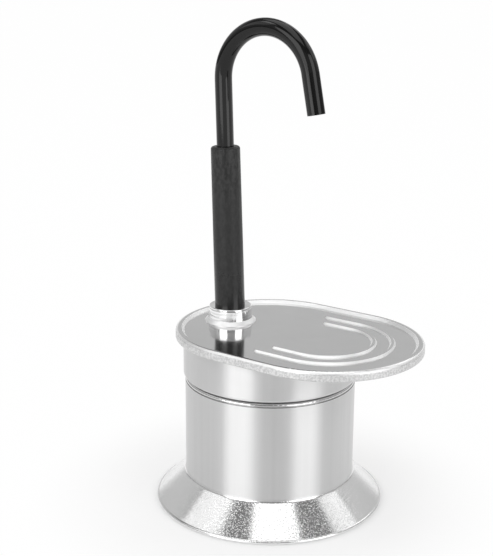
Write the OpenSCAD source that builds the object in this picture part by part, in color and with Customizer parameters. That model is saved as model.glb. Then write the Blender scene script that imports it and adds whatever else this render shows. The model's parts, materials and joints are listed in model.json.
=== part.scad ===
// Stovetop espresso maker with a cup platform and a swan-neck spout.
// Millimetres, +Z up. The origin is the middle of the base, on the boiler's axis.
// +X runs along the platform, away from the spout's foot.

/* [Boiler] */
// Outside diameter of the boiler's straight wall
boiler_d = 60; // [52:1:76]
// Thickness of the spun wall
boiler_wall = 1.6; // [1:0.1:2.4]
// Diameter across the lip of the flared skirt
base_d = 81.2; // [74:0.2:100]
// Height of the flared skirt
flare_h = 10.9; // [7:0.1:18]
// Radius of the rolled lip round the base
lip_r = 0.7; // [0.4:0.1:1.2]
// Height of the shoulder under the cap
shoulder_z = 46.1; // [42:0.1:70]
// Rounding of the shoulder's edge
shoulder_r = 0.8; // [0.3:0.1:1.5]
// Radius of the fine groove turned under the shoulder
groove_r = 0.28; // [0.1:0.02:0.4]
// Height of the threaded neck above the shoulder
neck_h = 3.9; // [3:0.1:8]
// Thickness of the neck
neck_wall = 1.9; // [1.2:0.1:3]
// Thickness of the plate that closes the base
base_t = 1.5; // [1:0.1:2.5]
// Width of the ledge that the base plate is seamed against
base_ledge = 0.8; // [0.4:0.1:1.5]

/* [Safety valve] */
// Height of the valve's axis
valve_z = 26; // [20:0.5:30]
// Radius of the flat pad on the boiler's wall
pad_r = 7; // [6:0.1:9]
// How far the pad stands out of the wall
pad_out = 1; // [0.5:0.1:2]
// How far the pad stands into the boiler
pad_in = 1.2; // [0.5:0.1:2]
// Radius of the valve's threaded shank
valve_shank_r = 4; // [3.6:0.1:5]
// Width across the flats of the valve's hexagon
valve_hex = 10; // [9.5:0.1:13]
// Length of the valve's hexagon
valve_hex_l = 5.5; // [5:0.1:8]
// Radius of the chamber that holds the spring
valve_bore_r = 2.9; // [2.7:0.1:3.2]
// Radius of the steam passage
passage_r = 1.2; // [0.9:0.1:1.5]
// Radius of the poppet's pin
pin_r = 0.8; // [0.5:0.1:1]
// Thickness of the poppet's head
poppet_head = 1.4; // [1:0.1:2]
// Thickness of the spring's wire
wire_d = 0.5; // [0.3:0.05:0.5]
// Turns of the spring
spring_turns = 4; // [2:1:4]

/* [Cap] */
// How far the cap stands proud of the boiler's wall
cap_proud = 0.6; // [0.3:0.1:2]
// Thickness of the cap's threaded wall
cap_wall = 2.9; // [2.2:0.1:4]
// Gap between the boiler's shoulder and the cap
cap_gap = 0.5; // [0.3:0.1:1.5]
// Rounding of the cap's lower edge
cap_edge = 1; // [0.4:0.1:1.5]
// Thickness of the cap's ceiling
ceiling_t = 1.8; // [1.2:0.1:3]
// Width of the seat that presses the gasket
seat_w = 3.7; // [3:0.1:5]
// Radial gap in the cap's thread
thread_gap = 0.3; // [0.2:0.05:0.5]
// Height of the round register that centres the platform
register_h = 0.8; // [0.4:0.1:1.2]

/* [Coffee funnel] */
// Depth of the coffee basket
basket_depth = 12; // [8:0.5:16]
// Thickness of the funnel's sheet
sheet_t = 0.8; // [0.5:0.1:1]
// Thickness of the flange that sits on the neck
flange_t = 1; // [0.6:0.1:1.5]
// Height of the cone under the basket
cone_h = 10; // [7:0.5:12]
// Outside diameter of the stem
stem_d = 7; // [6:0.1:9]
// Space between the stem's end and the base plate
stem_gap = 3; // [2:0.5:6]
// Diameter of the holes in both strainers
hole_d = 1.1; // [0.6:0.1:1.5]
// Distance between rings of holes
hole_pitch = 3.5; // [2.8:0.1:5]
// Thickness of the strainer under the coffee
screen_t = 0.6; // [0.4:0.1:1]

/* [Seal and filter] */
// Thickness of the gasket
gasket_t = 2.5; // [2:0.1:4]
// Thickness of the filter plate
filter_t = 0.8; // [0.5:0.1:1.2]

/* [Platform] */
// Width of the platform
platform_w = 66.6; // [62:0.2:80]
// Length of the platform
platform_l = 89.5; // [82:0.5:120]
// Thickness from the underside to the top of the rim
platform_t = 3.4; // [3:0.1:6]
// Width of the rim at its top
rim_w = 2.1; // [1.6:0.1:3]
// Height of the rim above the face
rim_h = 1; // [0.5:0.1:1.4]
// Width of the rim's sloping inner wall
rim_slope = 1; // [0.3:0.1:1.5]
// Rounding of the rim's outer edge
rim_edge = 1.2; // [0.4:0.1:1.5]
// Rounding of the platform's lower edge
platform_edge = 0.6; // [0.3:0.1:0.8]
// Radius of the outer cup rib's bend
outer_rib_r = 22.4; // [20:0.1:25]
// Radius of the inner cup rib's bend
inner_rib_r = 16.1; // [12:0.1:18]
// Length of the outer rib's legs
outer_leg = 13.1; // [4:0.1:20]
// Length of the inner rib's legs
inner_leg = 10.1; // [4:0.1:20]
// Width of a cup rib at its foot
rib_w = 2.1; // [1.8:0.1:3]
// Width of a cup rib's flat top
rib_top_w = 0.9; // [0.6:0.1:1.6]
// Height of a cup rib
rib_h = 0.65; // [0.4:0.05:0.9]

/* [Spout] */
// Outside diameter of the tube
tube_d = 6; // [5:0.1:6.4]
// Inside diameter of the tube
tube_bore = 4; // [3:0.1:4.4]
// Outward lean of the stem, in degrees
spout_lean = 2.1; // [0:0.1:3]
// Height of the bend's start above the platform's face
stem_h = 85.4; // [75:0.1:110]
// Radius of the bend at the tube's axis
bend_r = 17.7; // [14:0.1:24]
// Angle of the bend, in degrees
bend_angle = 171; // [150:1:180]
// Straight length after the bend
outlet_l = 13.2; // [6:0.1:20]
// Height of the collar above the platform's face
collar_h = 5.7; // [4.5:0.1:9]
// Diameter of the collar at its top
collar_d = 15; // [14:0.1:15.6]
// Diameter of the collar above its foot
collar_low_d = 15.8; // [15:0.1:17]
// Diameter of the collar's foot
foot_d = 18.2; // [17.6:0.1:20]
// Height of the foot's slope
foot_h = 1.4; // [1:0.1:2]
// Height of the foot's upright edge
foot_edge = 0.2; // [0.1:0.1:0.5]
// Rounding of the collar's top
collar_round = 0.3; // [0.1:0.1:0.4]
// Height of the band above the collar's fine groove
collar_band = 0.8; // [0.6:0.1:1.2]
// Radius of the collar's fine groove
collar_groove_r = 0.15; // [0.1:0.05:0.3]
// Radius of the collar's threaded shank
shank_r = 4.2; // [4:0.1:4.6]
// Wall of the collar's lock nut at its corners
nut_wall = 1.8; // [1.5:0.1:2.5]
// Height of the collar's lock nut
nut_h = 2.6; // [2:0.1:4]
// Length of the grip sleeve along the tube
sleeve_l = 57.4; // [40:0.1:65]
// Diameter of the grip sleeve at its foot
sleeve_d = 10.7; // [9:0.1:12]
// Diameter of the grip sleeve at its top
sleeve_top_d = 10.2; // [8.6:0.1:11]
// Rounding of the grip sleeve's top
sleeve_round = 1; // [0.4:0.1:1.4]

/* [Hidden] */
$fn = 96;

// Clearances: pressed pieces, pieces that slide past each other, and a running fit
press_gap = 0.02;
slide_gap = 0.3;
run_gap = 0.08;
// How far a cutting shape runs past the face that it opens
over = 1;
// How far a joined shape runs into its neighbour
sink = 0.5;
// Radius to the corners of a hexagon, from the width across its flats
function corner_r(flats) = flats / (2 * cos(30));

// Boiler: radii and the inner face of the flare, parallel to the outer one
boiler_r = boiler_d / 2;
boiler_ri = boiler_r - boiler_wall;
base_r = base_d / 2;
flare_slope = (base_r - boiler_r) / (flare_h - lip_r);
flare_wall = boiler_wall * sqrt(1 + flare_slope * flare_slope);
function flare_inner_r(z) = base_r - flare_wall - flare_slope * (z - lip_r);
flare_inner_z = lip_r + (base_r - flare_wall - boiler_ri) / flare_slope;
pocket_r = flare_inner_r(base_t) + base_ledge;
// Groove under the shoulder, with a narrow land above it
groove_land = 0.12;
groove_z = shoulder_z - shoulder_r - groove_land - groove_r;

// Cap over the neck
cap_r = boiler_r + cap_proud;
cap_bore_r = cap_r - cap_wall;
neck_r = cap_bore_r - thread_gap;
neck_bore_r = neck_r - neck_wall;
neck_top = shoulder_z + neck_h;
cap_z = shoulder_z + cap_gap;
flange_top = neck_top + flange_t;
seat_z = flange_top + gasket_t;
chamber_r = cap_bore_r - seat_w;

// Spout's foot, as near the chamber's wall as its nut allows
tube_r = tube_d / 2;
nut_r = shank_r + nut_wall;
nut_room = 0.5;
spout_off = chamber_r - nut_room - nut_r;
washer_t = 0.6;
shank_tail = 0.4;
nut_clear = 1.2;
chamber_h = washer_t + nut_h + shank_tail + nut_clear;
ceiling_z = seat_z + chamber_h;
cap_top = ceiling_z + ceiling_t;
shank_z = seat_z + nut_clear;
// The register is a little wider than the neck's bore
register_out = 0.5;
register_r = neck_bore_r + register_out;

// Platform
platform_r = platform_w / 2;
ends_apart = platform_l - platform_w;
face_z = cap_top + platform_t - rim_h;
rib_sink = 0.3;
collar_top = face_z + collar_h;
// The drawn outlet is a hair thicker than the bend, and runs back into it by this much
outlet_lap = 0.5;

// Coffee funnel
basket_r = neck_bore_r - slide_gap;
basket_ri = basket_r - sheet_t;
flange_r = neck_r - slide_gap;
screen_top = flange_top - basket_depth;
screen_z = screen_top - screen_t;
ledge_w = 1.2;
cone_top = screen_z - sheet_t;
cone_foot = cone_top - cone_h;
stem_r = stem_d / 2;
spigot_r = stem_r + press_gap + sheet_t;
spigot_l = 6;
cone_slope = cone_h / (basket_r - spigot_r);
cone_rise = sheet_t * sqrt(1 + cone_slope * cone_slope);
stem_z = base_t + stem_gap;

// Gasket, filter plate and the field of holes
gasket_r = cap_bore_r - slide_gap;
filter_lap = 1.4;
filter_r = chamber_r + filter_lap;
gasket_step_r = filter_r + slide_gap;
gasket_ri = basket_ri;
hole_margin = 2;
hole_field_r = chamber_r - hole_margin;
hole_rings = floor((hole_field_r - hole_d / 2) / hole_pitch);

// Safety valve, measured outwards from the boiler's axis
pad_y = boiler_r + pad_out;
pad_inner_y = boiler_ri - pad_in;
valve_washer_t = 1;
valve_nut_h = 3;
valve_nut_wall = 2.35;
valve_nut_r = valve_shank_r + valve_nut_wall;
valve_shank_tail = 1;
valve_inner_y = pad_inner_y - valve_washer_t - valve_nut_h - valve_shank_tail;
seat_depth = 1.5;
seat_y = pad_y - seat_depth;
valve_end_y = pad_y + valve_hex_l;
bush_l = 1.2;
bush_head_t = 0.8;
bush_lap = 0.9;
bush_head_r = valve_bore_r + bush_lap;
bush_y = valve_end_y - bush_l;
poppet_back_y = seat_y + poppet_head;
poppet_nose_l = 1.5;
pin_show = 2.4;
vent_r = 0.4;
vent_at = 1.9;

// Spring: a helix between the poppet's head and the bush
spring_r = (pin_r + valve_bore_r) / 2;
spring_play = 0.05;
spring_from = poppet_back_y + wire_d / 2 + spring_play;
spring_rise = bush_y - wire_d / 2 - spring_play - spring_from;
curl_rings = 8;
wire_sides = 6;
spring_steps = spring_turns * curl_rings;
spring_path = [for (i = [0 : spring_steps]) spring_point(i)];
function spring_point(i) =
    let (turn = 360 * i / curl_rings)
    [spring_r * cos(turn), spring_r * sin(turn), spring_from + spring_rise * i / spring_steps];
function spring_out(i) =
    let (turn = 360 * i / curl_rings)
    [cos(turn), sin(turn), 0];
function wire_ring(i) = [
    for (k = [0 : wire_sides - 1])
        spring_path[i] + wire_d / 2 * (cos(60 * k) * spring_out(i) + sin(60 * k) * [0, 0, 1])
];
spring_gap = min([
    for (i = [0 : spring_steps], j = [0 : spring_steps])
        if (j - i >= curl_rings / 2) norm(spring_path[i] - spring_path[j]) - wire_d
]);
echo(spring_least_gap = spring_gap);

// Ring-shaped flat outline
module ring(outer, inner) {
    difference() {
        circle(outer);
        circle(inner);
    }
}

// Round piece with a round hole
module washer(outer, inner, height) {
    linear_extrude(height) ring(outer, inner);
}

// Hexagonal piece with a round hole; the outer radius is to the corners
module hex_nut(outer, inner, height) {
    difference() {
        cylinder(r = outer, h = height, $fn = 6);
        translate([0, 0, -over]) cylinder(r = inner, h = height + 2 * over);
    }
}

// Places children with their Z axis pointing out of the boiler's back, along the valve
module along_valve(y) {
    translate([0, y, valve_z]) rotate([-90, 0, 0]) children();
}

// Places children on the spout's foot, upright
module at_spout(z) {
    translate([-spout_off, 0, z]) children();
}

// Places children on the spout's leaning axis, from the platform's face
module along_spout() {
    at_spout(face_z) rotate([0, -spout_lean, 0]) children();
}

// Round field of holes, in rings about the middle
module hole_field(height) {
    cylinder(d = hole_d, h = height);
    for (k = [1 : hole_rings], i = [0 : 6 * k - 1])
        rotate([0, 0, 60 * i / k]) translate([hole_pitch * k, 0, 0]) cylinder(d = hole_d, h = height);
}

// Half of the boiler's outer outline: rolled lip, flare, wall, grooved shoulder and neck
module boiler_outline() {
    difference() {
        union() {
            polygon([
                [0, 0], [base_r - lip_r, 0], [base_r, lip_r], [boiler_r, flare_h],
                [boiler_r, shoulder_z - shoulder_r], [boiler_r - shoulder_r, shoulder_z], [0, shoulder_z]
            ]);
            translate([base_r - lip_r, lip_r]) circle(lip_r);
            translate([boiler_r - shoulder_r, shoulder_z - shoulder_r]) circle(shoulder_r);
            square([neck_r, neck_top]);
        }
        translate([boiler_r, groove_z]) circle(groove_r);
    }
}

// Half of the boiler's hollow, with the pocket for the base plate
module boiler_hollow() {
    polygon([
        [0, base_t], [flare_inner_r(base_t), base_t], [boiler_ri, flare_inner_z],
        [boiler_ri, shoulder_z - boiler_wall], [neck_bore_r, shoulder_z - boiler_wall],
        [neck_bore_r, neck_top + over], [0, neck_top + over]
    ]);
    translate([0, -over]) square([pocket_r, base_t + over]);
}

module boiler_body() {
    color("silver")
    difference() {
        union() {
            rotate_extrude() difference() {
                boiler_outline();
                boiler_hollow();
            }
            along_valve(pad_inner_y) cylinder(r = pad_r, h = pad_y - pad_inner_y);
        }
        along_valve(pad_inner_y - over)
            cylinder(r = valve_shank_r + press_gap, h = pad_y - pad_inner_y + 2 * over);
    }
}

module base_plate() {
    color("lightgray")
    cylinder(r = pocket_r - press_gap, h = base_t);
}

module valve_body() {
    color("goldenrod")
    difference() {
        union() {
            along_valve(pad_y) cylinder(r = corner_r(valve_hex), h = valve_hex_l, $fn = 6);
            along_valve(valve_inner_y) cylinder(r = valve_shank_r, h = pad_y - valve_inner_y);
        }
        along_valve(valve_inner_y - over) cylinder(r = passage_r, h = seat_y - valve_inner_y + 2 * over);
        along_valve(seat_y) cylinder(r = valve_bore_r, h = valve_end_y - seat_y + over);
    }
}

module valve_washer() {
    color("dimgray")
    along_valve(pad_inner_y - valve_washer_t)
        washer(valve_nut_r, valve_shank_r + press_gap, valve_washer_t);
}

module valve_lock_nut() {
    color("goldenrod")
    along_valve(pad_inner_y - valve_washer_t - valve_nut_h)
        hex_nut(valve_nut_r, valve_shank_r + press_gap, valve_nut_h);
}

module valve_poppet() {
    color("gold") {
        along_valve(seat_y) cylinder(r = valve_bore_r - slide_gap, h = poppet_head);
        along_valve(seat_y - poppet_nose_l) cylinder(r = passage_r - slide_gap, h = poppet_nose_l + sink);
        along_valve(seat_y) cylinder(r = pin_r, h = valve_end_y + pin_show - seat_y);
    }
}

module valve_spring() {
    rings = [for (i = [0 : spring_steps]) each wire_ring(i)];
    last = spring_steps * wire_sides;
    sides = [
        for (i = [0 : spring_steps - 1], k = [0 : wire_sides - 1], half = [0, 1])
            let (a = i * wire_sides, b = a + wire_sides, n = (k + 1) % wire_sides)
            half == 0 ? [a + k, a + n, b + n] : [a + k, b + n, b + k]
    ];
    ends = [
        for (k = [1 : wire_sides - 2], end = [0, 1])
            end == 0 ? [0, k + 1, k] : [last, last + k, last + k + 1]
    ];
    color("lightgray")
    along_valve(0) polyhedron(points = rings, faces = concat(sides, ends));
}

module valve_cap() {
    color("goldenrod")
    difference() {
        union() {
            along_valve(bush_y) cylinder(r = valve_bore_r - press_gap, h = bush_l);
            along_valve(valve_end_y) cylinder(r = bush_head_r, h = bush_head_t);
        }
        along_valve(bush_y - over) cylinder(r = pin_r + run_gap, h = bush_l + bush_head_t + 2 * over);
        for (turn = [0 : 120 : 240])
            along_valve(bush_y - over) rotate([0, 0, turn]) translate([vent_at, 0, 0])
                cylinder(r = vent_r, h = bush_l + bush_head_t + 2 * over);
    }
}

module funnel_cup() {
    color("gainsboro")
    rotate_extrude() polygon([
        [basket_ri, flange_top], [flange_r, flange_top], [flange_r, neck_top], [basket_r, neck_top],
        [basket_r, cone_top], [spigot_r, cone_foot], [spigot_r, cone_foot - spigot_l],
        [stem_r + press_gap, cone_foot - spigot_l], [stem_r + press_gap, cone_foot + cone_rise],
        [basket_ri - ledge_w, cone_top + cone_rise - cone_slope * (basket_r - basket_ri + ledge_w)],
        [basket_ri - ledge_w, screen_z], [basket_ri, screen_z]
    ]);
}

module funnel_stem() {
    color("gainsboro")
    translate([0, 0, stem_z]) washer(stem_r, stem_r - sheet_t, cone_foot - stem_z);
}

module funnel_screen() {
    color("silver")
    difference() {
        translate([0, 0, screen_z]) cylinder(r = basket_ri - press_gap, h = screen_t);
        translate([0, 0, screen_z - over]) hole_field(screen_t + 2 * over);
    }
}

module gasket() {
    color("whitesmoke")
    rotate_extrude() polygon([
        [gasket_ri, flange_top], [gasket_r, flange_top], [gasket_r, seat_z],
        [gasket_step_r, seat_z], [gasket_step_r, seat_z - filter_t], [gasket_ri, seat_z - filter_t]
    ]);
}

module filter_plate() {
    color("silver")
    difference() {
        translate([0, 0, seat_z - filter_t]) cylinder(r = filter_r, h = filter_t);
        translate([0, 0, seat_z - filter_t - over]) hole_field(filter_t + 2 * over);
    }
}

// Half of the cap's section: rounded lower edge, thread bore, gasket seat, chamber and register
module cap_section() {
    difference() {
        union() {
            translate([0, cap_z + cap_edge]) square([cap_r, cap_top - cap_z - cap_edge]);
            translate([0, cap_z]) square([cap_r - cap_edge, cap_edge]);
            translate([cap_r - cap_edge, cap_z + cap_edge]) circle(cap_edge);
            translate([0, cap_top - over]) square([register_r, register_h + over]);
        }
        translate([0, cap_z - over]) square([cap_bore_r, seat_z - cap_z + over]);
        translate([0, seat_z - over]) square([chamber_r, chamber_h + over]);
    }
}

module cap() {
    color("silver")
    difference() {
        rotate_extrude() cap_section();
        at_spout(ceiling_z - over) cylinder(r = shank_r + press_gap, h = ceiling_t + register_h + 2 * over);
    }
}

// Half of the platform's section: rounded edges and a rim with a sloping inner wall
module platform_section() {
    difference() {
        union() {
            square([platform_r - platform_edge, platform_edge]);
            translate([0, platform_edge]) square([platform_r, platform_t - platform_edge - rim_edge]);
            square([platform_r - rim_edge, platform_t]);
            translate([platform_r - platform_edge, platform_edge]) circle(platform_edge);
            translate([platform_r - rim_edge, platform_t - rim_edge]) circle(rim_edge);
        }
        polygon([
            [-over, platform_t - rim_h], [platform_r - rim_w - rim_slope, platform_t - rim_h],
            [platform_r - rim_w, platform_t], [platform_r - rim_w, platform_t + over],
            [-over, platform_t + over]
        ]);
    }
}

// Long plate with round ends, swept from the section
module platform_plate() {
    rotate([90, 0, 90]) linear_extrude(ends_apart) {
        platform_section();
        mirror([1, 0]) platform_section();
    }
    rotate([0, 0, 90]) rotate_extrude(angle = 180) platform_section();
    translate([ends_apart, 0, 0]) rotate([0, 0, -90]) rotate_extrude(angle = 180) platform_section();
}

// Half of a cup rib's section: a flat top and a sloping side, sunk a little into the face
module rib_half_section() {
    polygon([
        [0, -rib_sink], [rib_w / 2, -rib_sink], [rib_w / 2, 0], [rib_top_w / 2, rib_h], [0, rib_h]
    ]);
}

module rib_section() {
    rib_half_section();
    mirror([1, 0]) rib_half_section();
}

// U-shaped cup rib with rounded leg ends, open towards the spout
module cup_rib(r, leg) {
    rotate([0, 0, -90]) rotate_extrude(angle = 180) translate([r, 0]) rib_section();
    for (side = [-1, 1])
        translate([-leg, side * r, 0]) {
            rotate([90, 0, 90]) linear_extrude(leg) rib_section();
            rotate([0, 0, 90]) rotate_extrude(angle = 180) rib_half_section();
        }
}

module platform() {
    color("darkgray")
    difference() {
        union() {
            translate([0, 0, cap_top]) platform_plate();
            translate([ends_apart, 0, face_z]) cup_rib(outer_rib_r, outer_leg);
            translate([ends_apart, 0, face_z]) cup_rib(inner_rib_r, inner_leg);
        }
        translate([0, 0, cap_top - over])
            cylinder(r = register_r + press_gap, h = register_h + press_gap + over);
        at_spout(cap_top - over) cylinder(r = shank_r + press_gap, h = platform_t + 2 * over);
    }
}

// Half of the collar's outline: sloping foot, tapered wall, fine groove and rounded top
module collar_outline() {
    top_r = collar_d / 2;
    low_r = collar_low_d / 2;
    foot_r = foot_d / 2;
    difference() {
        union() {
            polygon([
                [0, 0], [foot_r, 0], [foot_r, foot_edge], [low_r, foot_h], [top_r, collar_h - collar_band],
                [top_r, collar_h - collar_round], [top_r - collar_round, collar_h], [0, collar_h]
            ]);
            translate([top_r - collar_round, collar_h - collar_round]) circle(collar_round);
        }
        translate([top_r, collar_h - collar_band]) circle(collar_groove_r);
    }
}

module spout_collar() {
    color("white")
    difference() {
        union() {
            at_spout(face_z) rotate_extrude() collar_outline();
            at_spout(shank_z) cylinder(r = shank_r, h = face_z - shank_z);
        }
        along_spout() translate([0, 0, -face_z])
            cylinder(r = tube_r + press_gap, h = face_z + collar_h + over);
    }
}

module collar_washer() {
    color("dimgray")
    at_spout(ceiling_z - washer_t) washer(nut_r, shank_r + press_gap, washer_t);
}

module collar_lock_nut() {
    color("goldenrod")
    at_spout(ceiling_z - washer_t - nut_h) hex_nut(nut_r, shank_r + press_gap, nut_h);
}

// Swan-neck tube: stem, bend and outlet, each with its bore
module spout_tube() {
    stem_foot = shank_z + shank_tail - face_z;
    turn_left = 180 - bend_angle;
    color("black")
    along_spout() {
        translate([0, 0, stem_foot]) washer(tube_r, tube_bore / 2, stem_h - stem_foot);
        translate([bend_r, 0, stem_h]) rotate([90, 0, 0]) {
            rotate_extrude(angle = bend_angle, start = turn_left)
                translate([bend_r, 0]) ring(tube_r, tube_bore / 2);
            rotate([0, 0, turn_left]) translate([bend_r, outlet_lap, 0]) rotate([90, 0, 0])
                washer(tube_r + press_gap, tube_bore / 2 - press_gap, outlet_l + outlet_lap);
        }
    }
}

// Half of the sleeve's outline: a slight taper and a rounded top
module sleeve_outline() {
    difference() {
        union() {
            polygon([
                [0, 0], [sleeve_d / 2, 0], [sleeve_top_d / 2, sleeve_l - sleeve_round],
                [sleeve_top_d / 2 - sleeve_round, sleeve_l], [0, sleeve_l]
            ]);
            translate([sleeve_top_d / 2 - sleeve_round, sleeve_l - sleeve_round]) circle(sleeve_round);
        }
        translate([0, -over]) square([tube_r + press_gap, sleeve_l + 2 * over]);
    }
}

module grip_sleeve() {
    color("dimgray")
    difference() {
        along_spout() translate([0, 0, collar_h - sink]) rotate_extrude() sleeve_outline();
        at_spout(collar_top - sleeve_d) translate([-sleeve_d, -sleeve_d, 0])
            cube([2 * sleeve_d, 2 * sleeve_d, sleeve_d]);
    }
}

boiler_body();
base_plate();
valve_body();
valve_washer();
valve_lock_nut();
valve_poppet();
valve_spring();
valve_cap();
funnel_cup();
funnel_stem();
funnel_screen();
gasket();
filter_plate();
cap();
platform();
spout_collar();
collar_washer();
collar_lock_nut();
spout_tube();
grip_sleeve();
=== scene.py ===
"""Looks of the stovetop espresso maker: finishes, wound details, studio and camera."""

import json
import math

import bpy
from mathutils import Matrix, Vector


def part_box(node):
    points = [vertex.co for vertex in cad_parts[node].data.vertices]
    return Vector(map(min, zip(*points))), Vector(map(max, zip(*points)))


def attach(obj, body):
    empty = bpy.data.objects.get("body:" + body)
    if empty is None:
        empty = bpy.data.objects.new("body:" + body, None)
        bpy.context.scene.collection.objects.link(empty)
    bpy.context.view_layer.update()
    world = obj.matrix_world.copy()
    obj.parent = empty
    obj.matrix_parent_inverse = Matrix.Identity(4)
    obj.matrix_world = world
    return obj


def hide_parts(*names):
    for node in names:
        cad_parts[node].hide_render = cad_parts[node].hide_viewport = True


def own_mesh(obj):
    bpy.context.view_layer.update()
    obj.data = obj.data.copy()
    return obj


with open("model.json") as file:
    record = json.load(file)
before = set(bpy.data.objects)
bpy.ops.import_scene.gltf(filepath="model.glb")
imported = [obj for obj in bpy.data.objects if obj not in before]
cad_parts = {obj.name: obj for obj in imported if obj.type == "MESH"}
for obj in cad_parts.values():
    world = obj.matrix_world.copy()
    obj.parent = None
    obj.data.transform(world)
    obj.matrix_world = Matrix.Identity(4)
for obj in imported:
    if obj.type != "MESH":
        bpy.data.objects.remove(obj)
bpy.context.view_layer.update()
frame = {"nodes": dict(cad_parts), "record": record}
nodes = frame["nodes"]

MM = 0.001

# Places that the finishes and the fine details follow, taken from the solids
base_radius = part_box("boiler_body")[1].x
neck_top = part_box("boiler_body")[1].z
cap_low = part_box("cap")[0]
sleeve_low, sleeve_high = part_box("grip_sleeve")
bush_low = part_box("valve_cap")[0]
poppet_low, poppet_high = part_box("valve_poppet")
valve_axis_z = (poppet_low.z + poppet_high.z) / 2

# The boiler's turned outline, and the hollow curve between its wall and its flare
WALL_RADIUS = 30 * MM
FLARE_HEIGHT = 10.9 * MM
LIP_RADIUS = 0.7 * MM
SEAM_LOW = 44.6 * MM
SEAM_HIGH = 45.2 * MM
SHOULDER_HEIGHT = 46.1 * MM
FILLET_RADIUS = 2 * MM
FILLET_SINK = 0.3 * MM
FILLET_STEPS = 8
FILLET_ROUNDS = 192
FILLET_SHARP_DEGREES = 30

# The screw thread on the boiler's neck and in the cap
THREAD_PITCH = 1.5 * MM
THREAD_RIDGE = 0.2 * MM
THREAD_SIDES = 10
THREAD_STEPS = 48
NECK_RADIUS = 27.4 * MM
CAP_BORE_RADIUS = 27.7 * MM

# The safety valve's spring, and the poppet it presses on
SPRING_RADIUS = 1.85 * MM
SPRING_WIRE = 0.25 * MM
SPRING_TURNS = 4
SPRING_SIDES = 12
SPRING_STEPS = 24
POPPET_HEAD = 1.4 * MM
POPPET_NOSE = 1.5 * MM
VALVE_LIFT = 1.2 * MM

# Where a finish changes over its piece
PLATFORM_FACE = 62.5 * MM
COLLAR_FOOT = 1.4 * MM
FOOT_EDGE = 0.1 * MM
SLEEVE_FOOT_LENGTH = 25 * MM
HANDLED_LENGTH = 25 * MM
SOOT_INNER = 8 * MM
SOOT_OUTER = 46 * MM
SOOT_WANDER = 12 * MM
BROWNED_INNER = 23.5 * MM
BROWNED_OUTER = 26.5 * MM
BROWNED_WANDER = 1.5 * MM

# The floor: its half width, its depth below the base, and where its shadows begin and end
FLOOR_REACH = 80.0
FLOOR_DROP = 0.05 * MM
CONTACT_SHADOW = (39.5 * MM, 43.5 * MM)
SOFT_SHADOW = (40 * MM, 90 * MM)

# Softboxes: degrees to the right of the camera, degrees above the floor, distance, width and
# height in metres, and power in watts. They look at one point of the upright axis
SOFTBOX_AIM = 70 * MM
SOFTBOXES = {
    "left_panel": (-39, 16, 0.9, 0.62, 0.9, 3.6),
    "right_panel": (48.5, 16, 0.9, 0.57, 0.9, 3.05),
    "top_panel": (12, 89, 1.0, 0.72, 1.24, 3.95),
    "left_side": (-87, 45, 1.0, 0.52, 0.56, 0.76),
    "left_top": (-86, 58, 1.0, 0.28, 0.2, 0.4),
    "right_side": (96, 42, 1.0, 0.34, 0.46, 0.41),
    "back_panel": (140, 41, 1.0, 0.8, 0.35, 1.0),
}

# The photographed view: where the camera stands, which way it looks, and its lens. Angles are
# in degrees, and the lens is in millimetres
CAMERA_AZIMUTH = 34.117
CAMERA_DISTANCE = 396.32 * MM
CAMERA_HEIGHT = 194.03 * MM
CAMERA_AIM = 35.358
CAMERA_PITCH = 15.936
CAMERA_ROLL = 0.323
CAMERA_LENS = 77.009
CAMERA_NEAR = 0.01


class Number:
    """A socket of a shader. Python operators on it add Math nodes."""

    def __init__(self, shader, socket):
        self.shader = shader
        self.socket = socket

    def math(self, operation, *values):
        sockets = dict(enumerate(values))
        return self.shader.node("ShaderNodeMath", {"operation": operation}, sockets)

    def __add__(self, other):
        return self.math("ADD", self, other)

    def __radd__(self, other):
        return self.math("ADD", other, self)

    def __sub__(self, other):
        return self.math("SUBTRACT", self, other)

    def __rsub__(self, other):
        return self.math("SUBTRACT", other, self)

    def __mul__(self, other):
        return self.math("MULTIPLY", self, other)

    def __rmul__(self, other):
        return self.math("MULTIPLY", other, self)

    def __gt__(self, other):
        return self.math("GREATER_THAN", self, other)

    def __lt__(self, other):
        return self.math("LESS_THAN", self, other)


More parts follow.
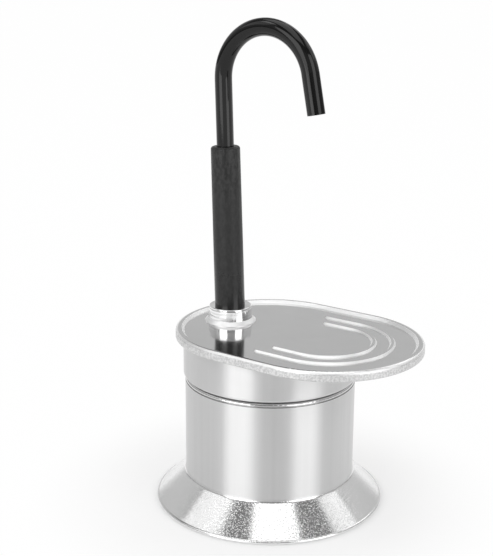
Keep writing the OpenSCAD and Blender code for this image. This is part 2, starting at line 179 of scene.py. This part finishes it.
class Shader:
    """A node tree that is being written, for a material or the world."""

    def __init__(self, owner):
        self.owner = owner
        owner.use_nodes = True
        self.tree = owner.node_tree
        self.tree.nodes.clear()

    def node(self, kind, settings=None, sockets=None, output=0):
        """Adds a node: its settings first, then the values or links of its sockets."""
        made = self.tree.nodes.new(kind)
        for key, value in (settings or {}).items():
            setattr(made, key, value)
        for key, value in (sockets or {}).items():
            if isinstance(value, Number):
                self.tree.links.new(value.socket, made.inputs[key])
            else:
                made.inputs[key].default_value = value
        return Number(self, made.outputs[output]) if made.outputs else made

    def place(self):
        """Where on the piece, in metres, in the object's own frame."""
        return self.node("ShaderNodeTexCoord", output="Object")

    def facing(self):
        """Which way the surface points, in the object's own frame."""
        return self.node("ShaderNodeTexCoord", output="Normal")

    def upright(self, vector):
        """A vector's vertical component."""
        return self.node("ShaderNodeSeparateXYZ", None, {0: vector}, "Z")

    def stretch(self, vector, factors):
        sockets = {0: vector, 1: factors}
        return self.node("ShaderNodeVectorMath", {"operation": "MULTIPLY"}, sockets)

    def from_axis(self, place):
        """Distance from the upright axis through the origin."""
        level = self.stretch(place, (1, 1, 0))
        return self.node("ShaderNodeVectorMath", {"operation": "LENGTH"}, {0: level}, "Value")

    def noise(self, vector, scale=1.0, detail=2.0, roughness=0.5):
        sockets = {"Vector": vector, "Scale": scale, "Detail": detail, "Roughness": roughness}
        return self.node("ShaderNodeTexNoise", None, sockets, "Fac")

    def lines(self, along, scale, detail):
        """Noise along one number, which makes lines or rings."""
        sockets = {"W": along, "Scale": scale, "Detail": detail}
        return self.node("ShaderNodeTexNoise", {"noise_dimensions": "1D"}, sockets, "Fac")

    def between(self, value, low, high, out_low=0.0, out_high=1.0):
        """Goes smoothly from one number to another as a value passes from low to high."""
        sockets = {0: value, 1: low, 2: high, 3: out_low, 4: out_high}
        return self.node("ShaderNodeMapRange", {"interpolation_type": "SMOOTHSTEP"}, sockets)

    def mix_colour(self, amount, first, second):
        """Mixes two colours. On a Mix node they go in at 6 and 7 and come out at 2."""
        sockets = {0: amount, 6: first, 7: second}
        return self.node("ShaderNodeMix", {"data_type": "RGBA"}, sockets, 2)

    def bump(self, height, distance, strength):
        sockets = {"Height": height, "Distance": distance, "Strength": strength}
        return self.node("ShaderNodeBump", None, sockets)

    def principled(self, **values):
        sockets = {name.replace("_", " "): value for name, value in values.items()}
        return self.node("ShaderNodeBsdfPrincipled", None, sockets)

    def mix_shader(self, amount, first, second):
        return self.node("ShaderNodeMixShader", None, {0: amount, 1: first, 2: second})

    def surface(self, shader):
        self.node("ShaderNodeOutputMaterial", None, {"Surface": shader})
        return self.owner


def grey(value, warmth=0.0):
    return (value + warmth, value, value - warmth, 1)


def new_shader(name):
    return Shader(bpy.data.materials.new(name))


def handling_marks(s, place):
    """Broad soft patches, as skin and cloth leave on a surface."""
    return s.noise(place, 55, 3, 0.6)


def spun_aluminium():
    """Boiler and cap: a spun wall with tool marks, a grainy flare and a seam with painted shade.
    """
    s = new_shader("spun_aluminium")
    place = s.place()
    height = s.upright(place)
    tool_marks = s.noise(s.stretch(place, (60, 60, 5200)), 1, 3, 0.6)
    drawn = s.noise(s.stretch(place, (420, 420, 6)), 1, 3, 0.6)
    patches = handling_marks(s, place)
    wall = s.principled(
        Base_Color=s.mix_colour(patches * 0.4 + drawn * 0.6, grey(0.7), grey(0.84)),
        Metallic=1.0,
        Roughness=0.38 + tool_marks * 0.06 + patches * 0.05,
        Anisotropic=0.95,
        Anisotropic_Rotation=0.25,
        Normal=s.bump(tool_marks, 0.005 * MM, 0.2),
    )
    grain = s.noise(place, 2600, 2, 0.6)
    pits = s.between(s.noise(place, 2200, 1), 0.5, 0.7)
    flare = s.principled(
        Base_Color=s.mix_colour(patches, grey(0.82), grey(0.9)),
        Metallic=1.0,
        Roughness=0.07 + grain * 0.1,
        Normal=s.bump(grain * 0.4 + pits, 0.034 * MM, 0.5),
    )
    # Painted shade: the seam's groove under the cap gets a dark colour, paling up the shoulder
    # towards the cap
    seam_shade_fade = s.between(height, SEAM_LOW, SEAM_HIGH)
    seam = s.principled(
        Base_Color=s.mix_colour(seam_shade_fade, grey(0.26), grey(0.66)),
        Metallic=1.0,
        Roughness=0.1 + tool_marks * 0.08,
        Normal=s.bump(tool_marks, 0.005 * MM, 0.2),
    )
    in_seam = (height > SEAM_LOW) * (height < cap_low.z)
    turned = s.mix_shader(height > FLARE_HEIGHT, flare, wall)
    return s.surface(s.mix_shader(in_seam, turned, seam))


def platform_aluminium():
    """Cup platform: smooth mirroring grey face; satin edge with painted shade and highlight."""
    s = new_shader("platform_aluminium")
    place = s.place()
    brushing = s.noise(s.stretch(place, (140, 6500, 900)), 1, 3, 0.6)
    patches = handling_marks(s, place)
    tilt = s.upright(s.facing())
    upward = s.between(tilt, 0.8, 0.99)
    cast = s.noise(place, 1700, 3, 0.65)
    # Painted shade: faces turned outwards get a darker colour, with the real cast grain in it
    side = s.mix_colour(s.between(cast, 0.36, 0.64), grey(0.56), grey(0.77))
    face = s.mix_colour(patches, grey(0.67), grey(0.75))
    # Painted highlight: the rib and rim slopes, between side and face, get a near-white colour
    top = s.mix_colour(upward, grey(0.95), face)
    smooth = 0.07 + brushing * 0.05 + patches * 0.03
    satin = 0.38 + cast * 0.14
    return s.surface(s.principled(
        Base_Color=s.mix_colour(s.between(tilt, 0.15, 0.55), side, top),
        Metallic=1.0,
        Roughness=upward * smooth + (1 - upward) * satin,
        Normal=s.bump((1 - upward) * cast + upward * brushing * 0.02, 0.08 * MM, 0.35),
    ))


def collar_chrome():
    """Spout's collar: polished plating with rings from the lathe, and a satin foot."""
    s = new_shader("collar_chrome")
    place = s.place()
    rings = s.noise(s.stretch(place, (90, 90, 4200)), 1, 2)
    foot_top = PLATFORM_FACE + COLLAR_FOOT
    foot_fade = (foot_top - FOOT_EDGE, foot_top + 2 * FOOT_EDGE)
    foot = s.between(s.upright(place), *foot_fade, 1.0, 0.0)
    barrel = s.mix_colour(s.between(rings, 0.3, 0.6), grey(0.66), grey(0.9))
    return s.surface(s.principled(
        Base_Color=s.mix_colour(foot, barrel, grey(0.9)),
        Metallic=1.0,
        Roughness=0.05 + rings * 0.06 + foot * 0.4,
        Normal=s.bump(rings, 0.02 * MM, 0.2),
    ))


def tube_black():
    """Spout tube: gloss black coating, with a slight orange peel."""
    s = new_shader("tube_black")
    place = s.place()
    peel = s.noise(place, 900, 2, 0.5)
    patches = handling_marks(s, place)
    return s.surface(s.principled(
        Base_Color=s.mix_colour(patches, grey(0.002), grey(0.005)),
        Roughness=0.05 + patches * 0.06,
        Specular_IOR_Level=0.32,
        Coat_Weight=0.03 + patches * 0.06,
        Coat_Roughness=0.06,
        Normal=s.bump(peel, 0.03 * MM, 0.12),
    ))


def sleeve_grey():
    """Grip sleeve: dark satin moulding, blotched where it is held, darker and smoother at its
    foot.
    """
    s = new_shader("sleeve_grey")
    place = s.place()
    height = s.upright(place)
    grain = s.noise(place, 2600, 3, 0.7)
    blotches = s.between(s.noise(s.stretch(place, (800, 800, 420)), 1, 3, 0.65), 0.3, 0.7)
    handled = s.between(height, sleeve_high.z - HANDLED_LENGTH, sleeve_high.z, 0.5, 1.9)
    # Darker and smoother towards the foot
    darker_smoother_foot = s.between(height, sleeve_low.z, sleeve_low.z + SLEEVE_FOOT_LENGTH, 1.0, 0.0)
    paleness = 0.5 + (blotches - 0.5) * handled - darker_smoother_foot * 0.2
    return s.surface(s.principled(
        Base_Color=s.mix_colour(paleness, grey(0.009), grey(0.029)),
        Roughness=0.38 + grain * 0.14 - darker_smoother_foot * 0.34,
        Specular_IOR_Level=0.36,
        Normal=s.bump(grain * (1 - darker_smoother_foot * 0.4), 0.05 * MM, 0.45),
    ))


def base_aluminium():
    """Underside: a turned face, dulled in the middle by heat."""
    s = new_shader("base_aluminium")
    place = s.place()
    out = s.from_axis(place)
    rings = s.lines(out, 2400, 3)
    wander = s.noise(place, 60, 3) * SOOT_WANDER
    soot = s.between(out + wander, SOOT_INNER, SOOT_OUTER, 0.75, 0.0)
    return s.surface(s.principled(
        Base_Color=s.mix_colour(soot, grey(0.74), grey(0.36, 0.03)),
        Metallic=1.0,
        Roughness=0.26 + rings * 0.16 + soot * 0.2,
        Normal=s.bump(rings, 0.05 * MM, 0.4),
    ))


def strainer_aluminium():
    """Funnel and strainers: pressed sheet, a little stained by coffee."""
    s = new_shader("strainer_aluminium")
    place = s.place()
    rings = s.lines(s.from_axis(place), 1500, 2)
    stain = s.between(s.noise(place, 90, 4, 0.65), 0.5, 0.75, 0.0, 0.4)
    return s.surface(s.principled(
        Base_Color=s.mix_colour(stain, grey(0.76), (0.5, 0.4, 0.3, 1)),
        Metallic=1.0,
        Roughness=0.28 + rings * 0.12 + stain * 0.2,
        Normal=s.bump(rings, 0.03 * MM, 0.25),
    ))


def gasket_rubber():
    """Gasket: off-white silicone, browned towards its inner edge."""
    s = new_shader("gasket_rubber")
    place = s.place()
    mottle = s.noise(place, 220, 3, 0.6)
    out = s.from_axis(place) - mottle * BROWNED_WANDER
    browned = s.between(out, BROWNED_INNER, BROWNED_OUTER, 0.7, 0.05)
    return s.surface(s.principled(
        Base_Color=s.mix_colour(browned, (0.72, 0.7, 0.65, 1), (0.42, 0.33, 0.24, 1)),
        Roughness=0.5 + mottle * 0.15,
        Normal=s.bump(mottle, 0.05 * MM, 0.2),
    ))


def seal_fibre():
    """Flat washers: dark pressed fibre."""
    s = new_shader("seal_fibre")
    fibre = s.noise(s.stretch(s.place(), (900, 2600, 900)), 1, 3, 0.7)
    return s.surface(s.principled(
        Base_Color=s.mix_colour(fibre, grey(0.05), grey(0.11, 0.01)),
        Roughness=0.7 + fibre * 0.15,
        Normal=s.bump(fibre, 0.05 * MM, 0.4),
    ))


def valve_brass():
    """Valve and nuts: turned brass, slightly dulled."""
    s = new_shader("valve_brass")
    place = s.place()
    turned = s.noise(s.stretch(place, (900, 5200, 900)), 1, 2)
    tarnish = s.between(s.noise(place, 420, 4, 0.6), 0.4, 0.8)
    return s.surface(s.principled(
        Base_Color=s.mix_colour(tarnish, (0.83, 0.62, 0.3, 1), (0.55, 0.38, 0.17, 1)),
        Metallic=1.0,
        Roughness=0.18 + turned * 0.1 + tarnish * 0.14,
        Normal=s.bump(turned, 0.02 * MM, 0.3),
    ))


def spring_steel():
    """Spring: drawn steel wire."""
    s = new_shader("spring_steel")
    drawn = s.noise(s.place(), 2500, 2)
    return s.surface(s.principled(
        Base_Color=s.mix_colour(drawn, grey(0.5), grey(0.62)),
        Metallic=1.0,
        Roughness=0.24 + drawn * 0.12,
        Normal=s.bump(drawn, 0.01 * MM, 0.3),
    ))


FINISHES = {
    "satin_aluminium": spun_aluminium,
    "base_aluminium": base_aluminium,
    "platform_aluminium": platform_aluminium,
    "strainer_aluminium": strainer_aluminium,
    "collar_chrome": collar_chrome,
    "tube_black": tube_black,
    "sleeve_grey": sleeve_grey,
    "gasket_rubber": gasket_rubber,
    "seal_fibre": seal_fibre,
    "valve_brass": valve_brass,
    "spring_steel": spring_steel,
}


def finish_solids():
    """Gives every solid the finish of its slot, and returns the finishes by slot."""
    made = {slot: finish() for slot, finish in FINISHES.items()}
    for sub in frame["record"]["subparts"]:
        piece = nodes[sub["node"]]
        piece.data.materials.clear()
        piece.data.materials.append(made[sub["material_slot"]])
    return made


def swept_wire_tree():
    """Geometry nodes that sweep a round wire along the edges of a path."""
    tree = bpy.data.node_groups.new("swept_wire", "GeometryNodeTree")
    face = tree.interface
    face.new_socket("Path", in_out="INPUT", socket_type="NodeSocketGeometry")
    face.new_socket("Wire radius", in_out="INPUT", socket_type="NodeSocketFloat")
    face.new_socket("Sides", in_out="INPUT", socket_type="NodeSocketInt")
    face.new_socket("Finish", in_out="INPUT", socket_type="NodeSocketMaterial")
    face.new_socket("Wire", in_out="OUTPUT", socket_type="NodeSocketGeometry")
    entry = tree.nodes.new("NodeGroupInput")
    path = tree.nodes.new("GeometryNodeMeshToCurve")
    section = tree.nodes.new("GeometryNodeCurvePrimitiveCircle")
    sweep = tree.nodes.new("GeometryNodeCurveToMesh")
    sweep.inputs["Fill Caps"].default_value = True
    smooth = tree.nodes.new("GeometryNodeSetShadeSmooth")
    realize = tree.nodes.new("GeometryNodeRealizeInstances")
    colour = tree.nodes.new("GeometryNodeSetMaterial")
    leave = tree.nodes.new("NodeGroupOutput")
    link = tree.links.new
    link(entry.outputs["Path"], path.inputs["Mesh"])
    link(entry.outputs["Sides"], section.inputs["Resolution"])
    link(entry.outputs["Wire radius"], section.inputs["Radius"])
    link(path.outputs["Curve"], sweep.inputs["Curve"])
    link(section.outputs["Curve"], sweep.inputs["Profile Curve"])
    link(sweep.outputs["Mesh"], smooth.inputs["Geometry"])
    link(smooth.outputs["Geometry"], realize.inputs["Geometry"])
    link(realize.outputs["Geometry"], colour.inputs["Geometry"])
    link(entry.outputs["Finish"], colour.inputs["Material"])
    link(colour.outputs["Geometry"], leave.inputs["Wire"])
    return tree


def swept_wire(tree, name, path, radius, sides, finish):
    """A plain mesh of a wire that runs along a list of points."""
    line = bpy.data.meshes.new(name + "_path")
    steps = [(i, i + 1) for i in range(len(path) - 1)]
    line.from_pydata([tuple(p) for p in path], steps, [])
    carrier = bpy.data.objects.new(name, line)
    bpy.context.scene.collection.objects.link(carrier)
    modifier = carrier.modifiers.new("wire", "NODES")
    modifier.node_group = tree
    inputs = [item for item in tree.interface.items_tree if item.in_out == "INPUT"]
    sockets = {item.name: item.identifier for item in inputs}
    modifier[sockets["Wire radius"]] = radius
    modifier[sockets["Sides"]] = sides
    modifier[sockets["Finish"]] = finish
    bpy.context.view_layer.update()
    seen = carrier.evaluated_get(bpy.context.evaluated_depsgraph_get())
    mesh = bpy.data.meshes.new_from_object(seen)
    carrier.modifiers.clear()
    carrier.data = mesh
    return carrier


def helix(radius, low, high, pitch, start, steps_per_turn):
    """Points of a right-hand thread round the vertical axis."""
    steps = max(2, round((high - low) / pitch * steps_per_turn))
    turn = 2 * math.pi * (high - low) / pitch
    return [
        Vector((radius * math.cos(start + turn * i / steps),
                radius * math.sin(start + turn * i / steps),
                low + (high - low) * i / steps))
        for i in range(steps + 1)
    ]


def add_threads(tree, finish):
    """Rolled thread on the boiler's neck, and the cap's thread half a pitch above it."""
    low = SHOULDER_HEIGHT + THREAD_PITCH / 2
    high = neck_top - THREAD_PITCH / 3
    outer = helix(NECK_RADIUS, low, high, THREAD_PITCH, 0.0, THREAD_STEPS)
    neck_thread = swept_wire(tree, "neck_thread", outer, THREAD_RIDGE, THREAD_SIDES, finish)
    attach(neck_thread, "boiler")
    low = cap_low.z + THREAD_PITCH / 2
    high = neck_top + THREAD_PITCH / 3
    start = 2 * math.pi * (low - SHOULDER_HEIGHT - THREAD_PITCH) / THREAD_PITCH
    inner = helix(CAP_BORE_RADIUS, low, high, THREAD_PITCH, start, THREAD_STEPS)
    cap_thread = swept_wire(tree, "cap_thread", inner, THREAD_RIDGE, THREAD_SIDES, finish)
    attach(cap_thread, "top")


def add_fillet(finish):
    """The small hollow curve where the spun wall turns out into the flare."""
    lean = math.atan2(base_radius - WALL_RADIUS, FLARE_HEIGHT - LIP_RADIUS)
    reach = FILLET_RADIUS * math.tan(lean / 2)
    middle = Vector((WALL_RADIUS + FILLET_RADIUS, FLARE_HEIGHT + reach))
    section = [Vector((WALL_RADIUS - FILLET_SINK, FLARE_HEIGHT))]
    for i in range(FILLET_STEPS + 1):
        turn = lean * i / FILLET_STEPS
        section.append(middle - FILLET_RADIUS * Vector((math.cos(turn), math.sin(turn))))
    section.insert(1, section[1] - Vector((FILLET_SINK, 0)))
    section.append(section[-1] - FILLET_SINK * Vector((math.cos(lean), math.sin(lean))))
    size = len(section)
    points = []
    faces = []
    for j in range(FILLET_ROUNDS):
        turn = 2 * math.pi * j / FILLET_ROUNDS
        points += [(p.x * math.cos(turn), p.x * math.sin(turn), p.y) for p in section]
        here, there = j * size, (j + 1) % FILLET_ROUNDS * size
        for i in range(size):
            after = (i + 1) % size
            faces.append((here + i, here + after, there + after, there + i))
    mesh = bpy.data.meshes.new("flare_fillet")
    mesh.from_pydata(points, [], faces)
    mesh.materials.append(finish)
    mesh.shade_smooth()
    mesh.set_sharp_from_angle(angle=math.radians(FILLET_SHARP_DEGREES))
    fillet = bpy.data.objects.new("flare_fillet", mesh)
    bpy.context.scene.collection.objects.link(fillet)
    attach(fillet, "boiler")


def add_spring(tree, finish):
    """The valve's coil, from the poppet's head out to the bush."""
    head = poppet_low.y + POPPET_NOSE + POPPET_HEAD + SPRING_WIRE
    foot = bush_low.y - SPRING_WIRE
    pitch = (foot - head) / SPRING_TURNS
    standing = helix(SPRING_RADIUS, head, foot, pitch, 0.0, SPRING_STEPS)
    coil = [Vector((p.x, p.z, valve_axis_z - p.y)) for p in standing]
    spring = swept_wire(tree, "valve_coil", coil, SPRING_WIRE, SPRING_SIDES, finish)
    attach(spring, "boiler")
    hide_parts("valve_spring")
    room = bush_low.y - (head - SPRING_WIRE)
    1 - VALVE_LIFT / room
    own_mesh(spring)


def seen_ray(s):
    """1 where a ray comes from the camera, or from metal or glass."""
    kinds = ("Is Camera Ray", "Is Glossy Ray", "Is Transmission Ray")
    camera, glossy, through = [s.node("ShaderNodeLightPath", output=kind) for kind in kinds]
    total = camera + glossy + through
    return total.math("MINIMUM", total, 1.0)


def studio_floor():
    """Pale floor: white where it is seen, with the object's soft shadow."""
    mesh = bpy.data.meshes.new("floor")
    quarters = ((-1, -1), (1, -1), (1, 1), (-1, 1))
    corners = [(x * FLOOR_REACH, y * FLOOR_REACH, -FLOOR_DROP) for x, y in quarters]
    mesh.from_pydata(corners, [], [(0, 1, 2, 3)])
    floor = bpy.data.objects.new("floor", mesh)
    bpy.context.scene.collection.objects.link(floor)
    s = new_shader("pale_floor")
    paper = s.node("ShaderNodeBsdfDiffuse", None, {"Color": grey(0.9)})
    glow = s.node("ShaderNodeEmission", None, {"Color": grey(1.0), "Strength": 1.0})
    out = s.from_axis(s.place())
    contact = s.between(out, *CONTACT_SHADOW, 0.4, 1.0)
    plain = contact * s.between(out, *SOFT_SHADOW, 0.6, 0.99)
    mesh.materials.append(s.surface(s.mix_shader(seen_ray(s) * plain, paper, glow)))


def toward(turn, lift):
    """A direction from the object: degrees right of the camera, and degrees above the floor."""
    azimuth = math.radians(CAMERA_AZIMUTH + turn)
    lift = math.radians(lift)
    level = math.cos(lift)
    return Vector((math.sin(azimuth) * level, -math.cos(azimuth) * level, math.sin(lift)))


def studio_world():
    """A dim room with pale walls, paler behind the object, and a white strip low at the back."""
    world = bpy.data.worlds.new("studio")
    bpy.context.scene.world = world
    s = Shader(world)
    ray = s.node("ShaderNodeTexCoord", output="Generated")
    sockets = {0: ray, 1: -toward(0, 0)}
    behind = s.node("ShaderNodeVectorMath", {"operation": "DOT_PRODUCT"}, sockets, "Value")
    height = s.upright(ray)
    wall = s.between(height, 0.05, 0.24) * s.between(height, 0.45, 0.7, 1.0, 0.0)
    backdrop = wall * s.between(behind, 0.0, 0.35, 0.65, 1.0)
    strip = s.between(behind, 0.65, 0.95) * s.between(height, 0.18, 0.27, 1.0, 0.0)
    room = s.mix_colour(backdrop, grey(0.19), grey(0.59))
    colour = s.mix_colour(strip, room, grey(0.95))
    background = s.node("ShaderNodeBackground", None, {"Color": colour, "Strength": 1.0})
    s.node("ShaderNodeOutputWorld", None, {"Surface": background})


def softbox(name, turn, lift, distance, width, height, power):
    """A soft area lamp that looks at the middle of the object."""
    lamp = bpy.data.lights.new(name, "AREA")
    lamp.shape = "RECTANGLE"
    lamp.size = width
    lamp.size_y = height
    lamp.energy = power
    made = bpy.data.objects.new(name, lamp)
    out = toward(turn, lift)
    stand = Matrix.Translation(Vector((0, 0, SOFTBOX_AIM)) + out * distance)
    made.matrix_world = stand @ out.to_track_quat("Z", "Y").to_matrix().to_4x4()
    bpy.context.scene.collection.objects.link(made)


def studio_lights():
    for name, values in SOFTBOXES.items():
        softbox(name, *values)


def place_camera():
    """Stands the camera where the photograph was taken from."""
    stand_at = math.radians(CAMERA_AZIMUTH)
    aim = math.radians(CAMERA_AIM)
    pitch = math.radians(CAMERA_PITCH)
    roll = math.radians(CAMERA_ROLL)
    flat = math.cos(pitch)
    back = Vector((math.sin(aim) * flat, -math.cos(aim) * flat, math.sin(pitch)))
    level = Vector((math.cos(aim), math.sin(aim), 0))
    rise = back.cross(level)
    right = level * math.cos(roll) + rise * math.sin(roll)
    up = rise * math.cos(roll) - level * math.sin(roll)
    view = Matrix((right, up, back)).transposed().to_4x4()
    view.translation = (
        math.sin(stand_at) * CAMERA_DISTANCE, -math.cos(stand_at) * CAMERA_DISTANCE, CAMERA_HEIGHT)
    lens = bpy.data.cameras.new("photo_view")
    lens.lens = CAMERA_LENS
    lens.clip_start = CAMERA_NEAR
    camera = bpy.data.objects.new("photo_view", lens)
    camera.matrix_world = view
    bpy.context.scene.collection.objects.link(camera)
    bpy.context.scene.camera = camera


bpy.context.scene.view_settings.view_transform = "Standard"
place_camera()
studio_world()
studio_floor()
studio_lights()
finishes = finish_solids()
wire_tree = swept_wire_tree()
add_threads(wire_tree, finishes["satin_aluminium"])
add_spring(wire_tree, finishes["spring_steel"])
add_fillet(finishes["satin_aluminium"])
